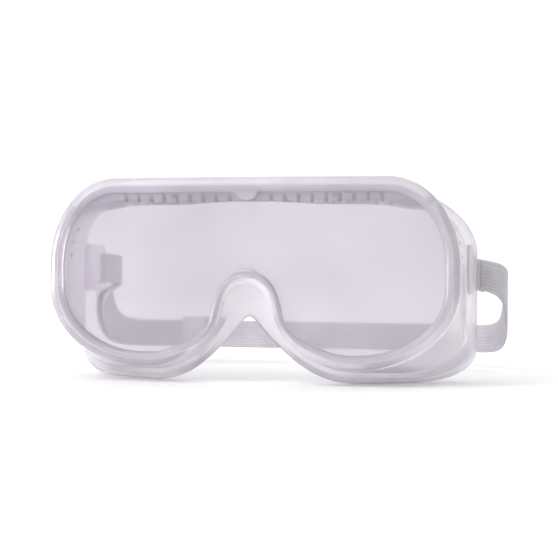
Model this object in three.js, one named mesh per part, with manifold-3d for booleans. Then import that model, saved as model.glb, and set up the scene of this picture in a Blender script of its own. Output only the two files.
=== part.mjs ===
// Safety goggles: a one-piece soft clear frame, a bent clear lens snapped into its lip, and a
// woven elastic headband threaded through a moulded lug at each temple.
// Millimetres. X to the wearer's left, Y from the lens towards the face, Z up. The goggles stand on
// the flat edge of the flange under each cheek lobe, and the headband hangs clear behind. The pieces
// are drawn about the middle of the face seat, the flange's rim over the nose at the lens'
// mid-height. The whole object is then placed with the middle of its footprint at the origin.

import * as THREE from 'three';
import { mergeVertices } from 'three/addons/utils/BufferGeometryUtils.js';
import { ParametricGeometry } from 'three/addons/geometries/ParametricGeometry.js';
import Module from 'manifold-3d';

const wasm = await Module();
wasm.setup();

// ---- Driving dimensions ------------------------------------------------------------------

const GAP = 0.3;                            // clearance left between pieces that touch

// Front lip, seen from the front
const LIP_WIDTH = 158;
const LIP_TOP = 37;                         // height of the brow edge above the middle
const LIP_BOTTOM = 34.5;                    // depth of the cheek lobes below the middle
const BROW_HALF = LIP_WIDTH / 2 - 26.5;     // half of the straight brow
const LOBE_X = LIP_WIDTH / 2 - 38;          // lowest point of each cheek lobe
const NOSE_TOP = -3.2;                      // height of the lip's nose arch
const NOSE_SIDE_X = 10.8;                   // where the lobe turns into the nose arch
const NOSE_SIDE_Z = -16.5;

// Rear flange, seen from the front
const FLANGE_WIDTH = LIP_WIDTH + 7;
const FLANGE_TOP = LIP_TOP - 0.6;
const FLANGE_BOTTOM = LIP_BOTTOM + 5.7;
const FLANGE_BROW_HALF = FLANGE_WIDTH / 2 - 39.5;
const TEMPLE_TOP = 10;                      // the flange's straight temple edge
const TEMPLE_BOTTOM = -28;
const FOOT_INNER_X = LOBE_X - 1;            // the flat foot under each cheek lobe
const FOOT_OUTER_X = FLANGE_WIDTH / 2 - 22.5;
const NOTCH_TOP = -15;                      // apex of the nose notch
const NOTCH_SIDE_X = 9;
const NOTCH_SIDE_Z = -24;

// Depths
const LENS_SETBACK = 10;                    // from the lens front to the face seat, on the centre line
const LENS_RADIUS = 760;                    // bend of the lens
const FACE_RADIUS = FLANGE_WIDTH / 2 + 21.5; // bend of the face seat round the head
const NOSE_FORWARD = 3;                     // how far the nose notch's rim stands in front of that bend
const NOSE_FORWARD_SPREAD = 20;

// Section of the frame
const LIP_BAND = 5.6;                       // width of the lip, outer edge to lens border
const LIP_RISE = 2.2;                       // how far the lip stands in front of the lens
const LIP_BACK = 3.4;                       // how far the lip reaches behind the lens front
const NOSE_THINNING = 0.46;                 // share of the lip's width lost beside the nose
const NOSE_THINNING_SPREAD = 9;             // how far round the nose's sides that reaches
const WALL = 2;                             // side wall
const WALL_INSET = 1.2;                     // side wall's outer face, inside the lip's outer edge
const GROOVE_DEPTH = 2.8;                   // how far the lens edge is buried in the lip
const BROW_STEP = 2.2;                      // the brow's wall starts this much further inside
const BROW_SLOPE = 0.7;                     // how fast it sinks behind the lip
const BROW_DIP = 5.5;                       // and the most that it sinks
const BROW_DEEPEST = 0.5;                   // share of the way to the flange where it turns back up
const BROW_DIP_FROM = 25;                   // the lip's height where the dip starts
const FLARE = 3;                            // how far the flange flares out from the wall
const FLANGE_EDGE = 1.2;                    // thickness at the flange's rim

const LENS_THICKNESS = 1;

// Tongues of the lip over the middle of the lens' top edge and over its nose arch
const TONGUE_WIDTH = 10;
const TONGUE_REACH = 3.2;                   // past the lens border
const NOSE_TONGUE_REACH = 1;
const TONGUE_THICKNESS = 1.3;

// Vent holes
const VENT_DIAMETER = 1.7;
const VENT_PITCH = 5.2;
const VENT_FIRST_X = 8;                     // first hole each side of the middle
const VENT_COUNT = 9;                       // holes in the front row, each side
const VENT_ROW_BACK = 6.6;                  // front row, behind the lens front
const VENT_ROW_PITCH = 4.6;
const VENT_BACK_ROW_FROM = 4;               // the rear row starts beside this hole
const SIDE_VENT_COUNT = 3;
const SIDE_VENT_Z = 8;                      // lowest hole of each temple's row
const SIDE_VENT_BACK = 16;                  // behind the lens edge

// Strap lugs
const LUG_X = FLANGE_WIDTH / 2 - 4;         // middle plane of each lug
const LUG_Z = 3.5;
const LUG_THICKNESS = 2.4;
const LUG_MARGIN = 3.2;                     // material above and below the slot
const LUG_REACH = 16;                       // behind the flange at the temple
const LUG_ROOT = 7;                         // how far the lug runs forward into the flange
const LUG_BAR = 3;                          // bar that the band folds round
const SLOT_LENGTH = 4;

// Elastic headband
const BAND_WIDTH = 12.5;
const BAND_THICKNESS = 1.1;
const BAND_BULGE_X = LUG_X + 14.5;          // widest half-width of the loop
const BAND_BULGE_BACK = 25;                 // behind the pivot
const BULGE_EASE = 0.45;                    // handles of its bends in plan, as shares of their span
const REAR_ROUND = 0.42;
const REAR_TURN = 0.6;
const BAND_REAR_BACK = 60;                  // rear run, behind the pivot
const BAND_REAR_HALF = BAND_BULGE_X - 31;   // half of the straight rear run
const BAND_CLEARANCE = 13.4;                // rear run's middle, above the table
const BAND_DROP = FLANGE_BOTTOM + LUG_Z - BAND_CLEARANCE;
const BAND_LEVEL = 0.78;                    // handle that keeps the band level behind the lugs
const BAND_LANDING = 0.24;                  // handle that levels it again before the rear run
const LAYER_SPACING = 3;                    // between the middles of two doubled layers
const SEWN_END = 14;                        // doubled length at the sewn end
const TAIL_PAST_SLIDER = 41;                // loose end past the slider

// Slider on the doubled elastic
const SLIDER_X = 7 - BAND_REAR_HALF;
const SLIDER_LENGTH = 11;
const SLIDER_RIM = 1.5;                     // rim above and below the elastic
const SLIDER_WALL = 1.5;                    // walls in front of and behind the elastic
const SLIDER_BAR = 3;                       // middle bar, between the layers

const TACK_LENGTH = 2.4;                    // bar tack that closes the sewn end
const TACK_PLACE = 0.3;                     // its place, as a share of the sewn end

// Steps along each stretch of the outlines, from the brow's middle to the nose
const OUTLINE_STEPS = [8, 9, 2, 9, 3, 8, 6];
const BEND_STEPS = 30;
const ROUND = 10;                           // sides of a vent hole

// ---- Solids ------------------------------------------------------------------------------

function solid(geometry) {
  const bare = geometry.index ? geometry.toNonIndexed() : geometry.clone();
  for (const name of Object.keys(bare.attributes)) {
    if (name !== 'position') bare.deleteAttribute(name);
  }
  const merged = mergeVertices(bare, 1e-4);
  return new wasm.Manifold(new wasm.Mesh({
    numProp: 3,
    vertProperties: new Float32Array(merged.attributes.position.array),
    triVerts: new Uint32Array(merged.index.array),
  }));
}

function geometryOf(manifold) {
  const mesh = manifold.getMesh();
  const geometry = new THREE.BufferGeometry();
  geometry.setAttribute('position', new THREE.BufferAttribute(mesh.vertProperties, 3));
  geometry.setIndex(new THREE.BufferAttribute(mesh.triVerts, 1));
  geometry.computeVertexNormals();
  return geometry;
}

function join(...solids) {
  return solids.reduce((whole, next) => whole.add(next));
}

function box(low, high) {
  const size = new THREE.Vector3().subVectors(high, low);
  const geometry = new THREE.BoxGeometry(size.x, size.y, size.z);
  const middle = new THREE.Vector3().addVectors(low, high).multiplyScalar(0.5);
  return solid(geometry.translate(middle.x, middle.y, middle.z));
}

// A flat shape drawn in X and Z, as a plate between two depths.
function plateXZ(shape, front, back) {
  const geometry = new THREE.ExtrudeGeometry(shape, { depth: back - front, bevelEnabled: false });
  return solid(geometry.rotateX(Math.PI / 2).translate(0, back, 0));
}

// A flat shape drawn in Y and Z, as a plate centred on X.
function plateYZ(shape, x, thickness) {
  const geometry = new THREE.ExtrudeGeometry(shape, { depth: thickness, bevelEnabled: false });
  geometry.rotateY(Math.PI / 2).rotateX(Math.PI / 2);
  return solid(geometry.translate(x - thickness / 2, 0, 0));
}

// A flat shape drawn in X and Y, as a wall between two heights.
function wallXY(shape, low, high) {
  const geometry = new THREE.ExtrudeGeometry(shape, { depth: high - low, bevelEnabled: false });
  return solid(geometry.translate(0, 0, low));
}

// ---- Curved surfaces ---------------------------------------------------------------------

function bow(x, radius) {
  return radius - Math.sqrt(radius * radius - x * x);
}

function lensFront(x) {
  return bow(x, LENS_RADIUS) - LENS_SETBACK;
}

// The seat follows the head's bend, and comes forward over the bridge of the nose.
function faceSeat(x, z) {
  const low = 1 - THREE.MathUtils.smoothstep(z, NOTCH_TOP, -NOTCH_TOP);
  const across = x / NOSE_FORWARD_SPREAD;
  return bow(x, FACE_RADIUS) - NOSE_FORWARD * low * Math.exp(-across * across);
}

// ---- Outlines ----------------------------------------------------------------------------

const ROUNDNESS = 0.55;                     // handle length that makes a quarter ellipse
const FOOT_ROUNDNESS = 0.6;                 // the flange's lower corners are a little squarer
const SHOULDER = 4;                         // half of the lip's straight side edges
const LOBE_FLAT = 3;                        // the lip is level for this far under each lobe
const LOBE_HANDLE = 14;                     // each lobe's curve runs level for about this far in

// Handles of the curves that meet beside the nose, from the place where they meet
const LIP_NOSE_BELOW = new THREE.Vector2(3.5, -9.5);
const LIP_NOSE_ABOVE = new THREE.Vector2(-1.5, 5);
const LIP_NOSE_TOP_X = -2.5;
const NOTCH_BELOW = new THREE.Vector2(9, -9);
const NOTCH_ABOVE = new THREE.Vector2(-5, 5);
const NOTCH_TOP_X = -7;

// Half of the lip's outer edge, from the brow's middle round to the nose arch.
function lipHalf() {
  const side = LIP_WIDTH / 2;
  const corner = side - BROW_HALF;
  const path = new THREE.Path();
  path.moveTo(0, LIP_TOP);
  path.lineTo(BROW_HALF, LIP_TOP);
  path.bezierCurveTo(BROW_HALF + corner * ROUNDNESS, LIP_TOP,
    side, SHOULDER + (LIP_TOP - SHOULDER) * ROUNDNESS, side, SHOULDER);
  path.lineTo(side, -SHOULDER);
  path.bezierCurveTo(side, -SHOULDER - (LIP_BOTTOM - SHOULDER) * ROUNDNESS,
    LOBE_X + (side - LOBE_X) * ROUNDNESS, -LIP_BOTTOM, LOBE_X, -LIP_BOTTOM);
  path.lineTo(LOBE_X - LOBE_FLAT, -LIP_BOTTOM);
  path.bezierCurveTo(LOBE_X - LOBE_HANDLE, -LIP_BOTTOM,
    NOSE_SIDE_X + LIP_NOSE_BELOW.x, NOSE_SIDE_Z + LIP_NOSE_BELOW.y, NOSE_SIDE_X, NOSE_SIDE_Z);
  path.bezierCurveTo(NOSE_SIDE_X + LIP_NOSE_ABOVE.x, NOSE_SIDE_Z + LIP_NOSE_ABOVE.y,
    NOSE_SIDE_X + LIP_NOSE_TOP_X, NOSE_TOP, 0, NOSE_TOP);
  return path;
}

// Half of the flange's rim, in the same stretches.
function flangeHalf() {
  const side = FLANGE_WIDTH / 2;
  const path = new THREE.Path();
  path.moveTo(0, FLANGE_TOP);
  path.lineTo(FLANGE_BROW_HALF, FLANGE_TOP);
  path.bezierCurveTo(FLANGE_BROW_HALF + (side - FLANGE_BROW_HALF) * ROUNDNESS, FLANGE_TOP,
    side, TEMPLE_TOP + (FLANGE_TOP - TEMPLE_TOP) * ROUNDNESS, side, TEMPLE_TOP);
  path.lineTo(side, TEMPLE_BOTTOM);
  path.bezierCurveTo(side, TEMPLE_BOTTOM - (FLANGE_BOTTOM + TEMPLE_BOTTOM) * FOOT_ROUNDNESS,
    FOOT_OUTER_X + (side - FOOT_OUTER_X) * FOOT_ROUNDNESS, -FLANGE_BOTTOM,
    FOOT_OUTER_X, -FLANGE_BOTTOM);
  path.lineTo(FOOT_INNER_X, -FLANGE_BOTTOM);
  path.bezierCurveTo(FOOT_INNER_X - LOBE_HANDLE, -FLANGE_BOTTOM,
    NOTCH_SIDE_X + NOTCH_BELOW.x, NOTCH_SIDE_Z + NOTCH_BELOW.y, NOTCH_SIDE_X, NOTCH_SIDE_Z);
  path.bezierCurveTo(NOTCH_SIDE_X + NOTCH_ABOVE.x, NOTCH_SIDE_Z + NOTCH_ABOVE.y,
    NOTCH_SIDE_X + NOTCH_TOP_X, NOTCH_TOP, 0, NOTCH_TOP);
  return path;
}

// The whole ring of stations, each with its point and its outward normal.
function ring(half) {
  const points = [half.curves[0].getPoint(0)];
  half.curves.forEach((curve, stretch) => {
    const steps = OUTLINE_STEPS[stretch];
    for (let i = 1; i <= steps; i++) points.push(curve.getPoint(i / steps));
  });
  const mirrored = points.slice(1, -1).reverse().map((p) => new THREE.Vector2(-p.x, p.y));
  const all = [...points, ...mirrored];
  return all.map((point, i) => {
    const before = all[(i + all.length - 1) % all.length];
    const after = all[(i + 1) % all.length];
    const along = new THREE.Vector2().subVectors(after, before).normalize();
    return { point, normal: new THREE.Vector2(-along.y, along.x) };
  });
}

const lip = ring(lipHalf());
const flange = ring(flangeHalf());
const STATIONS = lip.length;
const NOSE_STATION = STATIONS / 2;

// The lip is narrower beside the nose and widens again along the lobes and over the arch.
function lipShare(station) {
  const { x, y } = lip[station].point;
  if (y > NOSE_TOP + 1) return 1;
  const away = (Math.abs(x) - NOSE_SIDE_X - 2) / NOSE_THINNING_SPREAD;
  return 1 - NOSE_THINNING * Math.exp(-away * away);
}

function inset(station, distance) {
  const { point, normal } = lip[station];
  return point.clone().addScaledVector(normal, -distance);
}

function shapeOf(points) {
  return new THREE.Shape(points);
}

// ---- Frame -------------------------------------------------------------------------------

// One corner of the frame's section: how far along the wall from lip to flange, how far outside
// the outline, how far behind the curved surface there, and how deep under the wall's outer face.
function corner(along, out, behind, under = 0) {
  return { along, out, behind, under };
}

const WALL_START = 0.01;                    // the wall leaves the lip's back face here

function frameSection() {
  return [
    corner(0, -LIP_BAND, -GAP),
    corner(0, -LIP_BAND + 0.5, -LIP_RISE * 0.7),
    corner(0, -LIP_BAND * 0.7, -LIP_RISE),
    corner(0, -LIP_BAND * 0.35, -LIP_RISE),
    corner(0, -LIP_BAND * 0.1, -LIP_RISE * 0.6),
    corner(0, 0, LIP_RISE * 0.2),
    corner(0, 0, LIP_BACK * 0.8),
    corner(WALL_START, -WALL_INSET, 0.4),
    corner(0.5, -WALL_INSET - FLARE * 0.25, 0),
    corner(0.78, -WALL_INSET - FLARE * 0.4, 0),
    corner(0.93, -FLARE * 0.55, 0),
    corner(1, 0, -FLANGE_EDGE),
    corner(1, 0, 0),
    corner(0.93, -FLARE * 0.55, 0, FLANGE_EDGE),
    corner(0.78, -WALL_INSET - FLARE * 0.4, 0, WALL),
    corner(0.5, -WALL_INSET - FLARE * 0.25, 0, WALL),
    corner(WALL_START, -WALL_INSET, 0.4, WALL),
    corner(0, -LIP_BAND, LIP_BACK),
    corner(0, -LIP_BAND, LENS_THICKNESS + GAP),
    corner(0, -LIP_BAND + GROOVE_DEPTH, LENS_THICKNESS + GAP),
    corner(0, -LIP_BAND + GROOVE_DEPTH, -GAP),
  ];
}

// The brow's wall sinks behind the lip and then rises to the flange, so its vents face forward.
function browDip(station, along, length) {
  if (along === 0) return 0;
  const share = THREE.MathUtils.smoothstep(lip[station].point.y, BROW_DIP_FROM, LIP_TOP - 0.5);
  const fall = BROW_STEP + BROW_SLOPE * Math.min(along, BROW_DEEPEST) * length;
  const rise = THREE.MathUtils.smoothstep(along, BROW_DEEPEST, 1);
  return share * Math.min(fall, BROW_DIP) * (1 - rise);
}

function sectionPoint(station, { along, out, behind, under }, target) {
  const front = lip[station];
  const back = flange[station];
  const share = THREE.MathUtils.lerp(lipShare(station), 1, along);
  const point = new THREE.Vector2().lerpVectors(front.point, back.point, along);
  const normal = new THREE.Vector2().lerpVectors(front.normal, back.normal, along).normalize();
  // The wall's slope here: its run out of the lip's outline, and its run back to the seat.
  const spread = new THREE.Vector2().subVectors(back.point, front.point).dot(normal);
  const run = faceSeat(point.x, point.y) - lensFront(point.x);
  const slope = new THREE.Vector2(spread, run).normalize();
  const dip = browDip(station, along, run - LIP_BACK);
  point.addScaledVector(normal, out * share - dip - under * slope.y);
  const root = lensFront(point.x) + (along > 0 ? LIP_BACK : 0);
  const depth = THREE.MathUtils.lerp(root, faceSeat(point.x, point.y), along);
  target.set(point.x, depth + behind + under * slope.x, point.y);
}

function frameShell() {
  const section = frameSection();
  const surface = (u, v, target) => {
    const station = Math.round(u * STATIONS) % STATIONS;
    const place = Math.round(v * section.length) % section.length;
    sectionPoint(station, section[place], target);
  };
  return solid(new ParametricGeometry(surface, STATIONS, section.length));
}

// A half-round tongue that points down from the brow, or up from the nose arch.
function tongue(border, reach, way) {
  const root = border - way * LIP_BAND * 0.4;
  const shape = new THREE.Shape();
  shape.absellipse(0, root, TONGUE_WIDTH / 2, Math.abs(border + way * reach - root),
    Math.PI, way > 0 ? 0 : 2 * Math.PI, way > 0, 0);
  shape.closePath();
  const back = lensFront(0) - GAP;
  return plateXZ(shape, back - TONGUE_THICKNESS, back);
}

function ventHole(length) {
  return new THREE.CylinderGeometry(VENT_DIAMETER / 2, VENT_DIAMETER / 2, length, ROUND);
}

function browVents() {
  const holes = [];
  const length = 4 * LIP_BAND;
  const drill = (x, row) => {
    const y = lensFront(x) + VENT_ROW_BACK + row * VENT_ROW_PITCH;
    holes.push(solid(ventHole(length).rotateX(Math.PI / 2).translate(x, y, LIP_TOP)));
  };
  for (const side of [-1, 1]) {
    for (let i = 0; i < VENT_COUNT; i++) {
      drill(side * (VENT_FIRST_X + i * VENT_PITCH), 0);
      if (i >= VENT_BACK_ROW_FROM) drill(side * (VENT_FIRST_X + (i + 0.5) * VENT_PITCH), 1);
    }
  }
  return holes;
}

function templeVents() {
  const holes = [];
  const side = LIP_WIDTH / 2;
  const y = lensFront(side) + SIDE_VENT_BACK;
  for (const hand of [-1, 1]) {
    for (let i = 0; i < SIDE_VENT_COUNT; i++) {
      const z = SIDE_VENT_Z + i * VENT_PITCH;
      const hole = ventHole(4 * LIP_BAND).rotateZ(Math.PI / 2);
      holes.push(solid(hole.translate(hand * side, y, z)));
    }
  }
  return holes;
}

const TEMPLE_Y = faceSeat(LUG_X, LUG_Z);
const LUG_END = TEMPLE_Y + LUG_REACH;
const SLOT_BACK = LUG_END - LUG_BAR;
const LUG_HALF = BAND_WIDTH / 2 + GAP + LUG_MARGIN;

// A rounded ear behind the temple edge, with an upright slot for the band.
function lug(hand) {
  const shape = new THREE.Shape();
  const r = LUG_MARGIN;
  shape.moveTo(TEMPLE_Y - LUG_ROOT, LUG_Z - LUG_HALF);
  shape.lineTo(LUG_END - r, LUG_Z - LUG_HALF);
  shape.absarc(LUG_END - r, LUG_Z - LUG_HALF + r, r, -Math.PI / 2, 0, false);
  shape.lineTo(LUG_END, LUG_Z + LUG_HALF - r);
  shape.absarc(LUG_END - r, LUG_Z + LUG_HALF - r, r, 0, Math.PI / 2, false);
  shape.lineTo(TEMPLE_Y - LUG_ROOT, LUG_Z + LUG_HALF);
  shape.closePath();
  const ear = plateYZ(shape, hand * LUG_X, LUG_THICKNESS);
  const slotHalf = BAND_WIDTH / 2 + GAP;
  const slot = box(
    new THREE.Vector3(hand * LUG_X - LUG_THICKNESS, SLOT_BACK - SLOT_LENGTH, LUG_Z - slotHalf),
    new THREE.Vector3(hand * LUG_X + LUG_THICKNESS, SLOT_BACK, LUG_Z + slotHalf));
  return ear.subtract(slot);
}

function frame() {
  const browBorder = LIP_TOP - LIP_BAND;
  const noseBorder = NOSE_TOP + LIP_BAND * lipShare(NOSE_STATION);
  const tongues = join(tongue(browBorder, TONGUE_REACH, -1), tongue(noseBorder, NOSE_TONGUE_REACH, 1));
  const whole = join(frameShell(), tongues, lug(-1), lug(1));
  return whole.subtract(join(...browVents(), ...templeVents()));
}

// ---- Lens --------------------------------------------------------------------------------

function lens() {
  const reach = LIP_WIDTH / 2;
  const front = [];
  const back = [];
  for (let i = 0; i <= BEND_STEPS; i++) {
    const x = THREE.MathUtils.lerp(-reach, reach, i / BEND_STEPS);
    front.push(new THREE.Vector2(x, lensFront(x)));
    back.unshift(new THREE.Vector2(x, lensFront(x) + LENS_THICKNESS));
  }
  const sheet = wallXY(shapeOf([...front, ...back]), -LIP_BOTTOM, LIP_TOP);
  const edge = lip.map((_, i) => inset(i, (LIP_BAND - GROOVE_DEPTH) * lipShare(i) + GAP));
  return sheet.intersect(plateXZ(shapeOf(edge), -LENS_SETBACK - 1, LENS_SETBACK));
}

// ---- Headband ----------------------------------------------------------------------------

const FOLD_LENGTH = BAND_WIDTH / 2 + 2;     // from the lug's bar to the pivot
const PIVOT_Y = LUG_END + FOLD_LENGTH;
const LEVEL_START = BAND_WIDTH / 2 + 1;     // the band leaves the pivot level and straight

// The loop is drawn about its pivot. Seen from above it is a D; seen from the side it sinks from
// the pivots to the table. Each layer of elastic is the wall of one, cut to the band of the other.

// Half of the loop in plan, from the pivot back round to the middle of the rear run.
function loopHalf() {
  const path = new THREE.CurvePath();
  const at = (x, y) => new THREE.Vector2(x, y);
  const leave = at(LUG_X, LEVEL_START);
  const bulge = at(BAND_BULGE_X, BAND_BULGE_BACK);
  const rear = at(BAND_REAR_HALF, BAND_REAR_BACK);
  const easy = (BAND_BULGE_BACK - LEVEL_START) * BULGE_EASE;
  const round = (BAND_REAR_BACK - BAND_BULGE_BACK) * REAR_ROUND;
  const turn = (BAND_BULGE_X - BAND_REAR_HALF) * REAR_TURN;
  path.add(new THREE.LineCurve(at(LUG_X, 0), leave));
  path.add(new THREE.CubicBezierCurve(leave, at(LUG_X, LEVEL_START + easy),
    at(BAND_BULGE_X, BAND_BULGE_BACK - easy), bulge));
  path.add(new THREE.CubicBezierCurve(bulge, at(BAND_BULGE_X, BAND_BULGE_BACK + round),
    at(BAND_REAR_HALF + turn, BAND_REAR_BACK), rear));
  path.add(new THREE.LineCurve(rear, at(0, BAND_REAR_BACK)));
  return path;
}

const LOOP_STEPS = [2, 8, 10, 3];
const SIDE_STEPS = 22;

// Points of the loop with their outward normals, on the wearer's left or right.
function loopPoints(hand) {
  const points = [];
  loopHalf().curves.forEach((curve, stretch) => {
    const steps = LOOP_STEPS[stretch];
    for (let i = points.length ? 1 : 0; i <= steps; i++) {
      const tangent = curve.getTangent(i / steps);
      const point = curve.getPoint(i / steps);
      const normal = new THREE.Vector2(hand * tangent.y, -tangent.x);
      points.push({ point: new THREE.Vector2(hand * point.x, point.y), normal });
    }
  });
  return points;
}

// The band's side view, as a plate across the whole loop: the edges of a strip that sinks from
// the pivots and ends level at the rear run.
function sideView() {
  const reach = BAND_REAR_BACK - LAYER_SPACING - BAND_THICKNESS;
  const sink = new THREE.CubicBezierCurve(
    new THREE.Vector2(0, 0), new THREE.Vector2(reach * BAND_LEVEL, 0),
    new THREE.Vector2(reach * BAND_LANDING, -BAND_DROP), new THREE.Vector2(reach, -BAND_DROP));
  const edge = (offset) => {
    const points = [];
    for (let i = 0; i <= SIDE_STEPS; i++) {
      const tangent = sink.getTangent(i / SIDE_STEPS);
      const across = new THREE.Vector2(-tangent.y, tangent.x);
      points.push(sink.getPoint(i / SIDE_STEPS).addScaledVector(across, offset));
    }
    points.push(new THREE.Vector2(BAND_REAR_BACK + LAYER_SPACING, -BAND_DROP + offset));
    return points;
  };
  const shape = shapeOf([...edge(BAND_WIDTH / 2), ...edge(-BAND_WIDTH / 2).reverse()]);
  return plateYZ(shape, 0, 2 * BAND_BULGE_X + 2 * LAYER_SPACING);
}

const bandSides = sideView();

// A layer of elastic along some of the loop's points, lying this far inside its middle line.
function layer(points, inside) {
  const edge = (offset) => points.map(({ point, normal }) =>
    point.clone().addScaledVector(normal, offset - inside));
  const outline = [...edge(BAND_THICKNESS / 2), ...edge(-BAND_THICKNESS / 2).reverse()];
  const wall = wallXY(shapeOf(outline), -BAND_DROP - BAND_WIDTH, BAND_WIDTH);
  return wall.intersect(bandSides);
}

function bandEnd(hand) {
  const disc = new THREE.CylinderGeometry(BAND_WIDTH / 2, BAND_WIDTH / 2, BAND_THICKNESS, 20);
  return solid(disc.rotateZ(Math.PI / 2).translate(hand * LUG_X, 0, 0));
}

function headband() {
  const left = loopPoints(1);
  const right = loopPoints(-1);
  const loop = layer([...left, ...right.slice(0, -1).reverse()], 0);
  return join(loop, bandEnd(1), bandEnd(-1));
}

// The part of one half of the loop between two lengths from the pivot, measured in plan.
function stretchOf(hand, from, to) {
  const points = loopPoints(hand);
  const kept = [];
  let run = 0;
  points.forEach((here, i) => {
    const before = points[i - 1];
    const step = before ? here.point.distanceTo(before.point) : 0;
    for (const mark of [from, to]) {
      if (before && run < mark && mark <= run + step) {
        const share = (mark - run) / step;
        kept.push({
          point: before.point.clone().lerp(here.point, share),
          normal: before.normal.clone().lerp(here.normal, share).normalize(),
        });
      }
    }
    run += step;
    if (run > from && run < to) kept.push(here);
  });
  return kept;
}

function halfLoopLength() {
  const points = loopPoints(1);
  return points.reduce((run, here, i) =>
    (i ? run + here.point.distanceTo(points[i - 1].point) : 0), 0);
}

// The doubled layers start clear of the fold's legs.
const LAYER_FROM = BAND_WIDTH / 2 + LAYER_SPACING;

function sewnEnd() {
  return layer(stretchOf(1, LAYER_FROM, LAYER_FROM + SEWN_END), LAYER_SPACING);
}

function adjustingTail() {
  const end = halfLoopLength() + SLIDER_X + TAIL_PAST_SLIDER;
  return layer(stretchOf(-1, LAYER_FROM, end), LAYER_SPACING);
}

// The stitched bar lies in the gap between the two layers, where its thread pulls them together.
function barTack() {
  const middle = LAYER_FROM + SEWN_END * TACK_PLACE;
  const half = TACK_LENGTH / 2;
  const points = stretchOf(1, middle - half, middle + half);
  const thick = LAYER_SPACING - BAND_THICKNESS - 2 * GAP;
  const edge = (offset) => points.map(({ point, normal }) =>
    point.clone().addScaledVector(normal, offset - LAYER_SPACING / 2));
  const outline = shapeOf([...edge(thick / 2), ...edge(-thick / 2).reverse()]);
  return wallXY(outline, -BAND_DROP, BAND_WIDTH).intersect(bandSides);
}

// ---- Slider ------------------------------------------------------------------------------

function slider() {
  const half = SLIDER_LENGTH / 2;
  const front = BAND_REAR_BACK - LAYER_SPACING - BAND_THICKNESS / 2 - GAP;
  const back = BAND_REAR_BACK + BAND_THICKNESS / 2 + GAP;
  const inside = BAND_WIDTH / 2 + GAP;
  const block = (halfX, nearY, farY, halfZ) => box(
    new THREE.Vector3(SLIDER_X - halfX, nearY, -BAND_DROP - halfZ),
    new THREE.Vector3(SLIDER_X + halfX, farY, -BAND_DROP + halfZ));
  const body = block(half, front - SLIDER_WALL, back + SLIDER_WALL, inside + SLIDER_RIM);
  const window = block(SLIDER_LENGTH, front, back, inside);
  const between = (LAYER_SPACING - BAND_THICKNESS) / 2 - GAP;
  const middle = BAND_REAR_BACK - LAYER_SPACING / 2;
  const bar = block(SLIDER_BAR / 2, middle - between, middle + between, inside + SLIDER_RIM / 2);
  return body.subtract(window).add(bar);
}

// ---- Folds round the lugs ----------------------------------------------------------------

// The band's fold round a lug's bar: a U in plan, whose legs lie each side of the lug.
function fold(hand) {
  const inner = LUG_THICKNESS / 2 + GAP;
  const outer = inner + BAND_THICKNESS;
  const front = SLOT_BACK - GAP;
  const end = PIVOT_Y + BAND_WIDTH / 2;
  const turn = BAND_THICKNESS / 2;
  const shape = new THREE.Shape();
  shape.moveTo(-outer, end);
  shape.lineTo(-outer, front - BAND_THICKNESS + turn);
  shape.lineTo(-outer + turn, front - BAND_THICKNESS);
  shape.lineTo(outer - turn, front - BAND_THICKNESS);
  shape.lineTo(outer, front - BAND_THICKNESS + turn);
  shape.lineTo(outer, end);
  shape.lineTo(inner, end);
  shape.lineTo(inner, front);
  shape.lineTo(-inner, front);
  shape.lineTo(-inner, end);
  shape.closePath();
  const geometry = new THREE.ExtrudeGeometry(shape, { depth: BAND_WIDTH, bevelEnabled: false });
  return solid(geometry.translate(hand * LUG_X, 0, LUG_Z - BAND_WIDTH / 2));
}

// ---- Assembly ----------------------------------------------------------------------------

const clearVinyl = { color: 0xd6d2da, roughness: 0.22, metalness: 0, transparent: true, opacity: 0.5 };
const clearLens = { color: 0xe2dfe8, roughness: 0.08, metalness: 0, transparent: true, opacity: 0.3 };
const elastic = { color: 0xb9b4bf, roughness: 0.85, metalness: 0 };
const thread = { color: 0xc6c2cb, roughness: 0.8, metalness: 0 };
const sliderPlastic = { color: 0xcfccd4, roughness: 0.35, metalness: 0 };

function piece(name, manifold, look) {
  const mesh = new THREE.Mesh(geometryOf(manifold), new THREE.MeshStandardMaterial(look));
  mesh.name = name;
  return mesh;
}

// The loop's own group sits at its pivots, behind the lugs.
const loop = new THREE.Group();
loop.position.set(0, PIVOT_Y, LUG_Z);
loop.add(piece('headband', headband(), elastic));
loop.add(piece('left_sewn_end', sewnEnd(), elastic));
loop.add(piece('left_bar_tack', barTack(), thread));
loop.add(piece('right_adjusting_tail', adjustingTail(), elastic));
loop.add(piece('slider', slider(), sliderPlastic));

const goggles = new THREE.Group();
goggles.add(piece('frame', frame(), clearVinyl));
goggles.add(piece('lens', lens(), clearLens));
goggles.add(piece('left_band_fold', fold(1), elastic));
goggles.add(piece('right_band_fold', fold(-1), elastic));
goggles.add(loop);

// Stand the goggles on the table, with the middle of their footprint at the origin.
const extent = new THREE.Box3().setFromObject(goggles);
goggles.position.set(0, -(extent.min.y + extent.max.y) / 2, -extent.min.z);

export default goggles;
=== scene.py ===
import math

import bmesh
import bpy
import numpy as np
from mathutils import Matrix, Vector


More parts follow.
